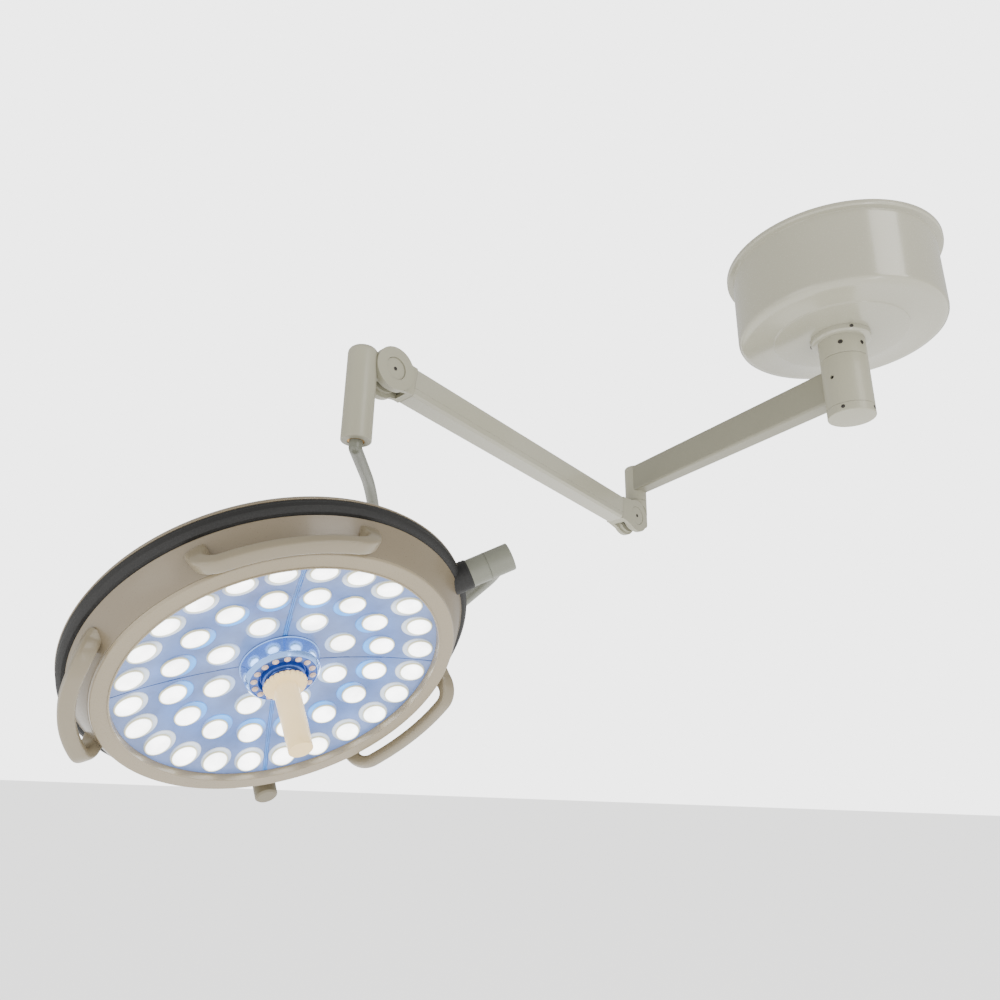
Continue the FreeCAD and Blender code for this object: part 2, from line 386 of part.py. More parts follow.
# ================================================================ second yoke body (rolls about ub)
Y2 = FreeCAD.Placement(FreeCAD.Matrix(ub.x, ua.x, ub.cross(ua).x, G.x, ub.y, ua.y, ub.cross(ua).y, G.y, ub.z, ua.z, ub.cross(ua).z, G.z, 0, 0, 0, 1))
def y2(s): return put(s, Y2)
b0, b1 = ARC2_B - 22, hubB[0] - GAP
h2 = cyl(PIV_R, b1 - b0, (b0, 0, 0), (1, 0, 0))
h2 = rounded(h2, 2.0, lambda e: abs(e.CenterOfMass.x - b0) < 0.01)
h2 = h2.fuse(cyl(12.0, hubB[1] - 8.5 - b0, (b0, 0, 0), (1, 0, 0))).cut(cyl(4.5, 200, (b0 + 8, 0, 0), (1, 0, 0)))
save("roll_hub_inner", y2(h2))
RA = 438.0 - HEAD_OFF                      # outer end of the tilt pivot, from the gimbal point
a0, a1 = 393.0 - HEAD_OFF, RA
ac = (a0 + a1) / 2 - 3
arc2 = bent_tube([(10.0, ac, 0), (68.7, ac, 0), (ARC2_B, ac - (ARC2_B - 68.7) * math.tan(math.radians(32)), 0), (ARC2_B, 5.0, 0)], [165.0, 146.0], YOKE_TUBE_R)
save("yoke_arc_inner", y2(arc2.cut(cyl(PIV_R + 0.02, 80, (b0 - 20, 0, 0), (1, 0, 0))).cut(cyl(PIV_R + 0.02, 90, (0, a0 - 20, 0), (0, 1, 0)))))
ha = cyl(PIV_R, a1 - a0, (0, a0, 0), (0, 1, 0))
ha = rounded(ha, 2.0, lambda e: abs(e.CenterOfMass.y - a1) < 0.01)
ha = ha.cut(cyl(16.0, a1 - a0 - 5, (0, a0 - 1, 0), (0, 1, 0)))
save("tilt_hub_outer", y2(ha))
save("tilt_bush", y2(ring(16.0, 12.0 + RUN, 30, (0, a0 + 2, 0), (0, 1, 0))))

# ================================================================ head body
Hc = G - ua * HEAD_OFF + un * HEAD_DEPTH
zb = un * -1
yb = zb.cross(ua)
HF = FreeCAD.Placement(FreeCAD.Matrix(ua.x, yb.x, zb.x, Hc.x, ua.y, yb.y, zb.y, Hc.y, ua.z, yb.z, zb.z, Hc.z, 0, 0, 0, 1))
def hd(s): return put(s, HF)
ZP = HEAD_DEPTH
bez = turned([(LIT_R - 2.6, 13.9), (LIT_R - 2.6, -0.8), (LIT_R, -0.8), (LIT_R, 0.9), (LIT_R + 1.5, 0.8), (RING_R - 1.0, 0, 0), (RING_R, 0.6), (RING_R + 2.2, 5.0), (RING_R - 4, 5.0), (LIT_R + 2.5, 5.0), (LIT_R, 6.0), (LIT_R, 13.9)])
save("front_bezel", hd(bez))
hs = turned([(RING_R + 2.6, 5.1), (WALL_R, WALL_Z, 0), (WALL_R - 14, WALL_Z), (WALL_R - 14, WALL_Z - 3), (WALL_R - 5.2, WALL_Z - 3), (RING_R - 1.0, 8.2), (RING_R - 20, 8.2), (RING_R - 20, 5.1)])
zc = GASKET_Z + 0.1
bk_o = turned([(0, BACK_Z), (0, zc), (EDGE_R, zc, 1.0), (EDGE_R, zc + 3, 1.0), (EDGE_R - 16, zc + 20, 20), (250, BACK_Z - 20, 60), (150, BACK_Z, 40)])
bk_i = turned([(0, BACK_Z - 3), (0, zc - 1), (EDGE_R - 12, zc - 1), (EDGE_R - 12, zc + 5), (EDGE_R - 21, zc + 20, 15), (248, BACK_Z - 23.2, 50), (148, BACK_Z - 3, 38)])
# tilt pivot boss passes through the edge of the back cover
bk = bk_o.cut(bk_i).cut(cyl(PIV_R + 1.0, 80, (300, 0, ZP), (1, 0, 0)))
gk = turned([(WALL_R - 12, WALL_Z + 0.1), (GASKET_R - 3, WALL_Z + 0.1), (GASKET_R, WALL_Z + 5), (GASKET_R, GASKET_Z - 3), (GASKET_R - 3, GASKET_Z), (WALL_R - 12, GASKET_Z)]).cut(cyl(PIV_R + 1.0, 80, (300, 0, ZP), (1, 0, 0)))
save("seam_gasket", hd(gk))
hs = hs.cut(cyl(PIV_R + 1.0, 80, (300, 0, ZP), (1, 0, 0)))
save("head_housing", hd(hs))
# chassis: ring with spokes and the pivot boss
ch = ring(WALL_R - 12.2, 240, 8, (0, 0, 66)).fuse(ring(WALL_R - 12.2, WALL_R - 25, 15, (0, 0, WALL_Z + 0.1))).fuse(ring(80, 20, 8, (0, 0, 66)))
for k in range(6):
    sp = box(60, 250, -9, 9, 66, 74)
    sp.rotate(V(0, 0, 0), V(0, 0, 1), 60 * k)
    ch = ch.fuse(sp)
ch = ch.fuse(cyl(PIV_R - 1.0, 75, (270, 0, ZP), (1, 0, 0))).cut(cyl(13.0, 80, (280, 0, ZP), (1, 0, 0)))
save("head_chassis", hd(ch))
save("tilt_gasket", hd(ring(PIV_R + 1.6, 13.0, 13.0, (345.1, 0, ZP), (1, 0, 0))))
tc = ring(PIV_R, 12.95, 392.0 - 358.3, (358.3, 0, ZP), (1, 0, 0))
tc = tc.fuse(ring(PIV_R + 0.5, 12.95, 393.0 - GAP - 391.4, (391.4, 0, ZP), (1, 0, 0)))
save("tilt_collar", hd(tc))
save("tilt_shaft", hd(cyl(12.0, 430.0 - 281, (281, 0, ZP), (1, 0, 0)).fuse(cyl(12.9, 392.4 - 281, (281, 0, ZP), (1, 0, 0))).cut(cyl(4.5, 200, (280, 0, ZP), (1, 0, 0)))))

# concave light panel in four quadrants, with sockets for the lens cells
def zpan(r):
    return 50.0 - 30.0 * (r / 250.0) ** 2.2
SEAM0 = -62.0               # one seam direction in the head frame, degrees
rs = [LIT_R - 0.5, 250, 225, 200, 175, 150, 125, 100, 80, 68.0]
pro = [(r, zpan(r)) for r in rs] + [(r, zpan(r) + 2.5) for r in reversed(rs)]
pan = turned(pro)
lens_pos = []
for n, r, off in ((N_OUT, R_OUT, 7.5), (N_MID, R_MID, 11.25), (N_IN, R_IN, 22.5)):
    for k in range(n):
        lens_pos.append((n, r, SEAM0 + off + 360.0 * k / n))
cutters = []
def lens_frame(r, a):
    z = zpan(r)
    dz = (zpan(r + 1) - zpan(r - 1)) / 2.0
    nrm = V(dz, 0, -1).normalize()          # outward normal (towards the patient) in the radial plane
    pl = FreeCAD.Placement(V(r, 0, z), FreeCAD.Rotation(V(0, 0, 1), nrm))
    return FreeCAD.Placement(V(0, 0, 0), FreeCAD.Rotation(V(0, 0, 1), a)).multiply(pl)
hole = Part.makeCylinder(LENS_R + 0.1, 24, V(0, 0, -12), V(0, 0, 1))
holes = [put(hole, lens_frame(r, a)) for (n, r, a) in lens_pos]
pan = pan.cut(Part.makeCompound(holes))
quads = []
for k in range(4):
    w = Part.makeCylinder(400, 120, V(0, 0, -20), V(0, 0, 1), 90)
    w.rotate(V(0, 0, 0), V(0, 0, 1), SEAM0 + 90 * k)
    q = pan.common(w)
    gapbox = box(0, 400, -0.5, 0.5, -30, 120)
    for j in (0, 1):
        g = gapbox.copy()
        g.rotate(V(0, 0, 0), V(0, 0, 1), SEAM0 + 90 * (k + j))
        q = q.cut(g)
    quads.append(hd(q))
save("light_panels", quads)
# plano-convex lens: flat back, domed front
def lens_shape():
    R, t, s = LENS_R, 4.0, 5.0
    rad = (R * R + s * s) / (2 * s)
    prof = Part.Wire([Part.makeLine(V(0, 0, -t), V(R, 0, -t)), Part.makeLine(V(R, 0, -t), V(R, 0, 0)),
                      Part.Arc(V(R, 0, 0), V(R / 2, 0, s - (rad - math.sqrt(rad * rad - R * R / 4))), V(0, 0, s)).toShape(), Part.makeLine(V(0, 0, s), V(0, 0, -t))])
    return Part.Face(prof).revolve(V(0, 0, 0), V(0, 0, 1), 360)
lens = lens_shape()
save("lens_cells", [hd(put(lens, lens_frame(r, a))) for (n, r, a) in lens_pos])
led = box(-3.5, 3.5, -3.5, 3.5, -9.9, -8.6)
save("led_emitters", [hd(put(led, lens_frame(r, a))) for (n, r, a) in lens_pos])
# board carrier follows the dish behind the panel
rs2 = [262, 240, 215, 190, 165, 140, 115, 95, 76]
brd = turned([(r, zpan(r) + 10.7) for r in rs2] + [(76, 65.9), (80, 65.9)] + [(r, zpan(r) + 13.7) for r in (80, 95, 115, 140, 165, 190, 215, 240, 258)] + [(258, 65.9), (262, 65.9)])
save("led_carrier", hd(brd))
fin = cyl(150, 4, (0, 0, 74.1)).cut(cyl(60, 10, (0, 0, 72)))
for k in range(24):
    f = box(66, 148, -1.0, 1.0, 78, 100)
    f.rotate(V(0, 0, 0), V(0, 0, 1), 15 * k)
    fin = fin.fuse(f)
save("heat_sink", hd(fin))
# central hub with its ring of small lamps and the handle socket
hubh = turned([(66.0, 65.9), (66.0, 40.0), (63.0, 20.0, 3), (58.0, 14.0, 2), (40.0, 15.5), (38.5, 22.0), (37.6, 22.0), (36.0, 12.0, 2), (30.0, 10.0), (26.0, 10.0), (26.0, 61.0), (62.0, 61.0), (62.0, 65.9)])
N_SM, R_SM = 16, 49.5
small_h = spun(cyl(4.6, 6, (R_SM, 0, 11)), N_SM, 5)
hubh = hubh.cut(Part.makeCompound(small_h))
save("hub_housing", hd(hubh))
save("hub_lamps", [hd(s) for s in spun(rounded(cyl(4.5, 5.0, (R_SM, 0, 12.0)), 1.5, lambda e: abs(e.CenterOfMass.z - 12.0) < 0.01), N_SM, 5)])
core = turned([(0, -92), (14.0, -92, 2), (14.0, 4), (25.8, 4, 1.5), (25.8, 65.9), (0, 65.9)])
core = core.cut(cyl(5.0, 52, (0, 0, 12)))
LATCH_A = -35.0
groove = box(10.6, 16, -3.2, 3.2, -95, 3.9)
groove.rotate(V(0, 0, 0), V(0, 0, 1), LATCH_A)
core = core.cut(groove)
save("handle_core", hd(core))

# carrying handles: an arched bar standing off the side wall, one leg at each end
cone = turned([(0, -60), (RING_R - 18, -60), (RING_R + 2.65, 5.05), (WALL_R + 0.05, WALL_Z), (WALL_R + 0.05, 90), (0, 90)])
def grip(a):
    RI, RO, Z0, Z1, A = 313.0, 341.0, -21.0, 2.0, 23.5
    def sect(rr0, rr1, z0, z1, a0, a1):
        f = Part.Face(Part.makePolygon([V(rr0, 0, z0), V(rr1, 0, z0), V(rr1, 0, z1), V(rr0, 0, z1), V(rr0, 0, z0)]))
        f.rotate(V(0, 0, 0), V(0, 0, 1), a0)
        return f.revolve(V(0, 0, 0), V(0, 0, 1), a1 - a0)
    g = sect(RI, RO, Z0, Z1, -A, A)
    legs = []
    for s in (-1, 1):
        lo, hi = (A - 6.2, A) if s > 0 else (-A, -A + 6.2)
        lg = sect(RI - 18, RO, Z0, 40.0, lo, hi)
        legs.append(lg)
    g = g.fuse(legs[0]).fuse(legs[1])
    g = g.cut(cone)
    # bevel the outer back corner of each leg so it runs into the wall
    bev = turned([(RO + 30, 60), (RO + 30, 10), (RO, 12), (WALL_R - 9, 40.1), (WALL_R - 9, 60)])
    g = g.cut(bev)
    g = rounded(g, 6.0, lambda e: e.Length > 150 and e.CenterOfMass.z < 3)
    g.rotate(V(0, 0, 0), V(0, 0, 1), a)
    return g
HANDLES = ((0, -68.0), (1, -152.0), (2, 63.0))
save("carry_handles", [hd(grip(a)) for nm, a in HANDLES])
KA = -244.0                 # dimmer position in the head frame, degrees
KR = 358.0
lug = cyl(21.0, 9, (KR, 0, 66.0)).fuse(box(318, KR, -21, 21, 66.0, 75.0)).cut(cyl(5.0, 30, (KR, 0, 60))).cut(cyl(GASKET_R + 0.05, GASKET_Z + 0.05 - 60, (0, 0, 60)))
lug.rotate(V(0, 0, 0), V(0, 0, 1), KA)
bk = bk.fuse(lug.cut(bk_i))
save("back_cover", hd(bk))

# ================================================================ loose handle, its latch, the dimmer knob
hz0, hz1 = -126.0, 2.5
hand = turned([(0, hz0), (19.6, hz0, 2.5), (20.8, -60), (21.6, -10), (22.0, -6), (36.5, -2.0, 1.5), (37.0, hz1), (0, hz1)])
hand = hand.cut(cyl(14.0 + GAP, 93, (0, 0, -92 - GAP + 0.0))).cut(cyl(14.0 + GAP, 20, (0, 0, -5)))
for s in spun(cyl(2.6, 12, (38.2, 0, -6)), 24, 3):
    hand = hand.cut(s)
lp = V(0, 0, -16)
ld = polar(1, LATCH_A)
hand = hand.cut(cyl(3.1, 30, lp + ld * 10, ld)).cut(cyl(4.6, 4.0, lp + ld * 15.2, ld))
save("sterile_handle", hd(hand))
latch = cyl(2.75, 21.4 - 14.5, lp + ld * 14.5, ld).fuse(cyl(4.2, 1.5, lp + ld * 17.5, ld))
save("handle_latch", hd(latch))
knob = turned([(0, 9.0), (18.0, 9.0, 3), (21.5, 12.0, 2), (22.0, 51.0, 1.5), (12.0, 51.5), (12.0, 65.6), (4.95, 65.6), (4.95, 82.0), (0, 82.0)])
for s in spun(cyl(1.2, 40, (22.6, 0, 18)), 20):
    knob = knob.cut(s)
knob.translate(polar(KR, KA))
save("dimmer_knob", hd(knob))
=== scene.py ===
import bpy, bmesh, math, json
from mathutils import Matrix, Vector


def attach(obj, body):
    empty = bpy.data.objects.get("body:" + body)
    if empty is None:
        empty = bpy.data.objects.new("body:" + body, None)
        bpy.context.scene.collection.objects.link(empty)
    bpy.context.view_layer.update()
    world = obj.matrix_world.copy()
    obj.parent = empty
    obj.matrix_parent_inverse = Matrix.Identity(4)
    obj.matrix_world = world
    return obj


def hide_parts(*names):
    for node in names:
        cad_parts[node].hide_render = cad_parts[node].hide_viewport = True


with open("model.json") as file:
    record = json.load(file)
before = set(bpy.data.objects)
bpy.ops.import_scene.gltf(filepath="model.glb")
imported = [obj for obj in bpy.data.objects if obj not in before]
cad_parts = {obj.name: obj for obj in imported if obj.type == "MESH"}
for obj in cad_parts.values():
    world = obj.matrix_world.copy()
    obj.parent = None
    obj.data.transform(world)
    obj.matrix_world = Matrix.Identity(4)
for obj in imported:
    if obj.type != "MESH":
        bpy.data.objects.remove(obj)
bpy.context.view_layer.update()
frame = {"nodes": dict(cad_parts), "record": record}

nodes = frame["nodes"]

# ------------------------------------------------------------------ camera
PITCH, ROLL = 0.3453, 0.0359
fwd = Vector((0, math.cos(PITCH), math.sin(PITCH)))
rgt = Vector((1, 0, 0))
up = rgt.cross(fwd)
r2 = rgt * math.cos(ROLL) + up * math.sin(ROLL)
u2 = up * math.cos(ROLL) - rgt * math.sin(ROLL)
cam_d = bpy.data.cameras.new("camera")
cam = bpy.data.objects.new("camera", cam_d)
bpy.context.scene.collection.objects.link(cam)
cam.matrix_world = Matrix(((r2.x, u2.x, -fwd.x, -0.764135), (r2.y, u2.y, -fwd.y, -1.414905), (r2.z, u2.z, -fwd.z, -1.055151), (0, 0, 0, 1)))
cam_d.sensor_fit = "HORIZONTAL"
cam_d.sensor_width = 36.0
cam_d.lens = 28.953
cam_d.shift_x = 0.0426
cam_d.shift_y = -0.0031
cam_d.clip_end = 400
bpy.context.scene.camera = cam

# ------------------------------------------------------------------ materials
def new_mat(name):
    m = bpy.data.materials.new(name)
    m.use_nodes = True
    nt = m.node_tree
    return m, nt, nt.nodes["Principled BSDF"]

def lin(c):
    return tuple(((x / 12.92) if x <= 0.04045 else ((x + 0.055) / 1.055) ** 2.4) for x in c)

def finish_mat(name, rgb, rough=0.45, metal=0.0, coat=0.0, bump=0.06, grain=900.0, var=0.05, blotch=5.0, rough_var=0.08, brushed=None, emit=None, emit_s=0.0):
    """Painted, moulded or metal surface: slow colour drift, fine grain in the bump and in the roughness."""
    m, nt, b = new_mat(name)
    base = lin(rgb)
    tc = nt.nodes.new("ShaderNodeTexCoord")
    n1 = nt.nodes.new("ShaderNodeTexNoise"); n1.inputs["Scale"].default_value = blotch; n1.inputs["Detail"].default_value = 4.0
    nt.links.new(tc.outputs["Object"], n1.inputs["Vector"])
    ramp = nt.nodes.new("ShaderNodeValToRGB")
    ramp.color_ramp.elements[0].position = 0.3
    ramp.color_ramp.elements[1].position = 0.7
    ramp.color_ramp.elements[0].color = (*[max(0, c * (1 - var)) for c in base], 1)
    ramp.color_ramp.elements[1].color = (*[min(1, c * (1 + var)) for c in base], 1)
    nt.links.new(n1.outputs["Fac"], ramp.inputs["Fac"])
    nt.links.new(ramp.outputs["Color"], b.inputs["Base Color"])
    mp = nt.nodes.new("ShaderNodeMapping")
    nt.links.new(tc.outputs["Object"], mp.inputs["Vector"])
    if brushed:
        mp.inputs["Scale"].default_value = brushed
    n2 = nt.nodes.new("ShaderNodeTexNoise"); n2.inputs["Scale"].default_value = grain; n2.inputs["Detail"].default_value = 3.0
    nt.links.new(mp.outputs["Vector"], n2.inputs["Vector"])
    mr = nt.nodes.new("ShaderNodeMapRange")
    mr.inputs["From Min"].default_value = 0.3; mr.inputs["From Max"].default_value = 0.7
    mr.inputs["To Min"].default_value = max(0.02, rough - rough_var); mr.inputs["To Max"].default_value = min(1.0, rough + rough_var)
    nt.links.new(n2.outputs["Fac"], mr.inputs["Value"])
    nt.links.new(mr.outputs["Result"], b.inputs["Roughness"])
    bp = nt.nodes.new("ShaderNodeBump"); bp.inputs["Strength"].default_value = bump; bp.inputs["Distance"].default_value = 0.0004
    nt.links.new(n2.outputs["Fac"], bp.inputs["Height"])
    nt.links.new(bp.outputs["Normal"], b.inputs["Normal"])
    b.inputs["Metallic"].default_value = metal
    b.inputs["Coat Weight"].default_value = coat
    b.inputs["Coat Roughness"].default_value = 0.12
    if emit:
        b.inputs["Emission Color"].default_value = (*lin(emit), 1)
        b.inputs["Emission Strength"].default_value = emit_s
    return m

def attr_mat(name, rough=0.3, metal=0.0, coat=0.3, glow=0.0):
    """Colour and glow from the mesh's own point colours, with a fine moulded grain."""
    m, nt, b = new_mat(name)
    at = nt.nodes.new("ShaderNodeAttribute"); at.attribute_name = "tone"
    tc = nt.nodes.new("ShaderNodeTexCoord")
    n1 = nt.nodes.new("ShaderNodeTexNoise"); n1.inputs["Scale"].default_value = 28.0; n1.inputs["Detail"].default_value = 5.0
    nt.links.new(tc.outputs["Object"], n1.inputs["Vector"])
    mr = nt.nodes.new("ShaderNodeMapRange")
    mr.inputs["From Min"].default_value = 0.3; mr.inputs["From Max"].default_value = 0.7
    mr.inputs["To Min"].default_value = 0.80; mr.inputs["To Max"].default_value = 1.12
    nt.links.new(n1.outputs["Fac"], mr.inputs["Value"])
    mx = nt.nodes.new("ShaderNodeVectorMath"); mx.operation = "SCALE"
    nt.links.new(at.outputs["Color"], mx.inputs[0]); nt.links.new(mr.outputs["Result"], mx.inputs["Scale"])
    nt.links.new(mx.outputs["Vector"], b.inputs["Base Color"])
    nt.links.new(mx.outputs["Vector"], b.inputs["Emission Color"])
    b.inputs["Emission Strength"].default_value = glow
    n2 = nt.nodes.new("ShaderNodeTexNoise"); n2.inputs["Scale"].default_value = 700.0
    nt.links.new(tc.outputs["Object"], n2.inputs["Vector"])
    bp = nt.nodes.new("ShaderNodeBump"); bp.inputs["Strength"].default_value = 0.05; bp.inputs["Distance"].default_value = 0.0004
    nt.links.new(n2.outputs["Fac"], bp.inputs["Height"]); nt.links.new(bp.outputs["Normal"], b.inputs["Normal"])
    b.inputs["Roughness"].default_value = rough
    b.inputs["Metallic"].default_value = metal
    b.inputs["Coat Weight"].default_value = coat
    b.inputs["Coat Roughness"].default_value = 0.1
    return m

M = {
    "arm_paint": finish_mat("arm_paint", (0.60, 0.59, 0.515), 0.42, coat=0.15, bump=0.10, grain=650, var=0.03),
    "arm_paint_dark": finish_mat("arm_paint_dark", (0.50, 0.49, 0.42), 0.46, coat=0.1, bump=0.10, grain=650, var=0.03),
    "canopy_plastic": finish_mat("canopy_plastic", (0.62, 0.61, 0.54), 0.22, coat=0.55, bump=0.03, grain=500, var=0.02),
    # head_plastic is darker than ring_plastic: the darkening is painted shade on the head housing and back shell
    "head_plastic": finish_mat("head_plastic", (0.45, 0.405, 0.325), 0.34, coat=0.25, bump=0.04, grain=600, var=0.03),
    "ring_plastic": finish_mat("ring_plastic", (0.56, 0.51, 0.415), 0.32, coat=0.3, bump=0.04, grain=600, var=0.03),
    "yoke_paint": finish_mat("yoke_paint", (0.43, 0.435, 0.385), 0.40, coat=0.15, bump=0.08, grain=650, var=0.03),
    "gasket_rubber": finish_mat("gasket_rubber", (0.018, 0.014, 0.008), 0.6, bump=0.15, grain=500, var=0.10),
    "grip_plastic": finish_mat("grip_plastic", (0.50, 0.46, 0.375), 0.38, coat=0.2, bump=0.08, grain=800, var=0.03),
    "knob_plastic": finish_mat("knob_plastic", (0.46, 0.43, 0.35), 0.45, bump=0.10, grain=800, var=0.04),
    # handle_plastic: its cream emission paints a glow on the sterile handle, which is no lamp
    "handle_plastic": finish_mat("handle_plastic", (0.96, 0.84, 0.60), 0.34, coat=0.3, bump=0.04, grain=700, var=0.02, emit=(1.0, 0.86, 0.62), emit_s=0.22),
    "steel": finish_mat("steel", (0.66, 0.66, 0.65), 0.30, metal=1.0, bump=0.10, grain=300, var=0.06, brushed=(1, 1, 12)),
    "steel_dark": finish_mat("steel_dark", (0.30, 0.29, 0.28), 0.35, metal=0.9, bump=0.10, grain=300, var=0.06),
    "alu": finish_mat("alu", (0.76, 0.77, 0.78), 0.36, metal=1.0, bump=0.10, grain=300, var=0.05, brushed=(12, 1, 1)),
    "bronze": finish_mat("bronze", (0.72, 0.56, 0.33), 0.35, metal=1.0, bump=0.1, grain=500, var=0.08),
    "board": finish_mat("board", (0.85, 0.86, 0.87), 0.4, bump=0.1, grain=300, var=0.04),
    "psu_metal": finish_mat("psu_metal", (0.36, 0.37, 0.38), 0.5, metal=0.3, bump=0.1, grain=400, var=0.08),
    # hub_metal and hub_dark: their blue emission paints a blue glow on the hub, which is no lamp
    "hub_metal": finish_mat("hub_metal", (0.50, 0.66, 0.90), 0.14, metal=0.9, coat=0.6, bump=0.02, grain=300, var=0.06, emit=(0.20, 0.42, 0.85), emit_s=0.12),
    "hub_dark": finish_mat("hub_dark", (0.22, 0.36, 0.66), 0.2, metal=0.6, coat=0.5, bump=0.03, grain=300, var=0.15, blotch=60, emit=(0.15, 0.32, 0.75), emit_s=0.14),
    "lamp": finish_mat("lamp", (0.80, 0.70, 0.66), 0.12, coat=0.8, bump=0.05, grain=200, var=0.18, blotch=150, emit=(0.85, 0.72, 0.62), emit_s=0.25),
    "led": finish_mat("led", (0.97, 0.93, 0.75), 0.4, emit=(1, 0.97, 0.85), emit_s=3.0),
    # panel_blue: its emission paints a blue glow on the dish, which is no lamp
    "panel_blue": attr_mat("panel_blue", 0.26, 0.0, 0.5, 0.42),
    # well: its emission paints the reflection glow in the reflector cups
    "well": attr_mat("well", 0.3, 0.0, 0.4, 1.1),
    "lens_clear": attr_mat("lens_clear", 0.08, 0.0, 0.6, 5.0),
}
PAINT = {"handle_latch": "bronze", "hinge_cap_discs": "arm_paint", "cap_disc_screws": "steel_dark", "arm_screws": "steel_dark", "elbow_screw": "steel_dark", "ceiling_fasteners": "steel_dark", "arm_end_boss": "arm_paint", "extension_arm_tube": "arm_paint_dark", "dimmer_knob": "knob_plastic", "tilt_gasket": "gasket_rubber"}

# ------------------------------------------------------------------ mesh helpers
body_of_node = {n: b for b, ns in frame["record"]["behaviour"]["bodies"].items() for n in ns}
slot_of_node = {s["node"]: s["material_slot"] for s in frame["record"]["subparts"]}
used_names = {}

def link(name, mesh, mat, body):
    o = bpy.data.objects.new(name, mesh)
    bpy.context.scene.collection.objects.link(o)
    mesh.materials.clear()
    mesh.materials.append(M[mat])
    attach(o, body)
    return o

def sharpen(bm, deg=32):
    for f in bm.faces:
        f.smooth = True
    lim = math.radians(deg)
    for e in bm.edges:
        if len(e.link_faces) == 2:
            e.smooth = e.calc_face_angle(0.0) < lim
        else:
            e.smooth = False

def remake(node, mat=None, bevel=0.0006, deg=32):
    """A finished copy of a CAD node: welded, smooth-shaded, with small edge radii."""
    src = nodes[node]
    me = src.data.copy()
    bm = bmesh.new(); bm.from_mesh(me)
    bmesh.ops.remove_doubles(bm, verts=bm.verts, dist=2e-6)
    bmesh.ops.dissolve_limit(bm, angle_limit=math.radians(0.4), verts=bm.verts, edges=bm.edges)
    sharpen(bm, deg)
    bm.to_mesh(me); bm.free()
    for k in list(me.attributes):
        if k.name in ("custom_normal",):
            me.attributes.remove(k)
    o = link(node + "_skin", me, mat or PAINT.get(node, slot_of_node[node]), body_of_node[node])
    if bevel:
        md = o.modifiers.new("edge", "BEVEL")
        md.width = bevel; md.segments = 2; md.limit_method = "ANGLE"; md.angle_limit = math.radians(40)
        md.use_clamp_overlap = True; md.harden_normals = True
    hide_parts(node)
    return o

def mesh_from(verts, faces, xf=None, tones=None, deg=32):
    me = bpy.data.meshes.new("m")
    if xf is not None:
        verts = [xf @ Vector(p) for p in verts]
    me.from_pydata([tuple(p) for p in verts], [], faces)
    bm = bmesh.new(); bm.from_mesh(me)
    bmesh.ops.recalc_face_normals(bm, faces=bm.faces)
    sharpen(bm, deg)
    bm.to_mesh(me); bm.free()
    if tones is not None:
        a = me.color_attributes.new("tone", "FLOAT_COLOR", "POINT")
        for i, c in enumerate(tones):
            a.data[i].color = (*c, 1.0)
    me.update()
    return me

def lathe(profile, seg, closed=True):
    """Rings of a turned profile of (r, z); points on the axis become one pole."""
    V_, F_ = [], []
    idx = []
    for r, z in profile:
        if r < 1e-6:
            idx.append([len(V_)]); V_.append((0, 0, z))
        else:
            idx.append(list(range(len(V_), len(V_) + seg)))
            for k in range(seg):
                a = 2 * math.pi * k / seg
                V_.append((r * math.cos(a), r * math.sin(a), z))
    n = len(profile)
    for i in range(n if closed else n - 1):
        A, B = idx[i], idx[(i + 1) % n]
        if len(A) == 1 and len(B) == 1:
            continue
        for k in range(seg):
            k2 = (k + 1) % seg
            if len(A) == 1:
                F_.append((A[0], B[k], B[k2]))
            elif len(B) == 1:
                F_.append((A[k], B[0], A[k2]))
            else:
                F_.append((A[k], B[k], B[k2], A[k2]))
    return V_, F_

def soften(points, n=5):
    """Rounds each corner (u, w, radius) of an open or closed outline into short arcs."""
    out = []
    N = len(points)
    for i, p in enumerate(points):
        r = p[2] if len(p) > 2 else 0
        if not r:
            out.append((p[0], p[1])); continue
        a, b, c = Vector(points[i - 1][:2]), Vector(p[:2]), Vector(points[(i + 1) % N][:2])
        u1, u2_ = (a - b).normalized(), (c - b).normalized()
        ang = u1.angle(u2_)
        t = min(r / math.tan(ang / 2), 0.45 * (a - b).length, 0.45 * (c - b).length)
        for k in range(n + 1):
            s = k / n
            q = (b + u1 * t) * (1 - s) ** 2 + b * 2 * s * (1 - s) + (b + u2_ * t) * s ** 2
            out.append((q.x, q.y))
    return out

# ------------------------------------------------------------------ head frame (metres)
ua = Vector((0.905724, -0.044926, 0.421481)).normalized()
un = Vector((0.361595, -0.436942, -0.823608)).normalized()
KX = 0.6488 * math.cos(2.0390) + 0.0331 * math.cos(-2.40599)
KY = 0.6488 * math.sin(2.0390) + 0.0331 * math.sin(-2.40599)
YR = 0.81144 * math.cos(0.12672) + 0.06027
G = Vector((KX + YR * math.cos(-2.40599), KY + YR * math.sin(-2.40599), -0.80419))
Hc = G - ua * 0.1144 + un * 0.06584
zb = -un
yb = zb.cross(ua)
HF = Matrix(((ua.x, yb.x, zb.x, Hc.x), (ua.y, yb.y, zb.y, Hc.y), (ua.z, yb.z, zb.z, Hc.z), (0, 0, 0, 1)))
S = Matrix.Scale(0.001, 4)
HM = HF @ S

def polar(r, deg, z=0.0):
    a = math.radians(deg)
    return Vector((r * math.cos(a), r * math.sin(a), z))

def head_lathe(name, prof, mat, seg=256, rep=None, deg=32, closed=True, body="head"):
    V_, F_ = lathe(prof, seg, closed)
    o = link(name, mesh_from(V_, F_, HM, deg=deg), mat, body)
    if rep:
        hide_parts(rep)
    return o

# side wall, slightly crowned
head_lathe("head_wall", soften([(299.6, 5.2, 1.5), (306.4, 14.0), (313.6, 25.5), (320.8, 37.0), (326.6, 46.5), (331.0, 52.0, 1.2), (317.0, 52.0), (317.0, 49.0), (325.8, 49.0), (296.0, 8.2), (277.0, 8.2), (277.0, 5.2)]), "head_plastic", rep="head_housing", deg=40)
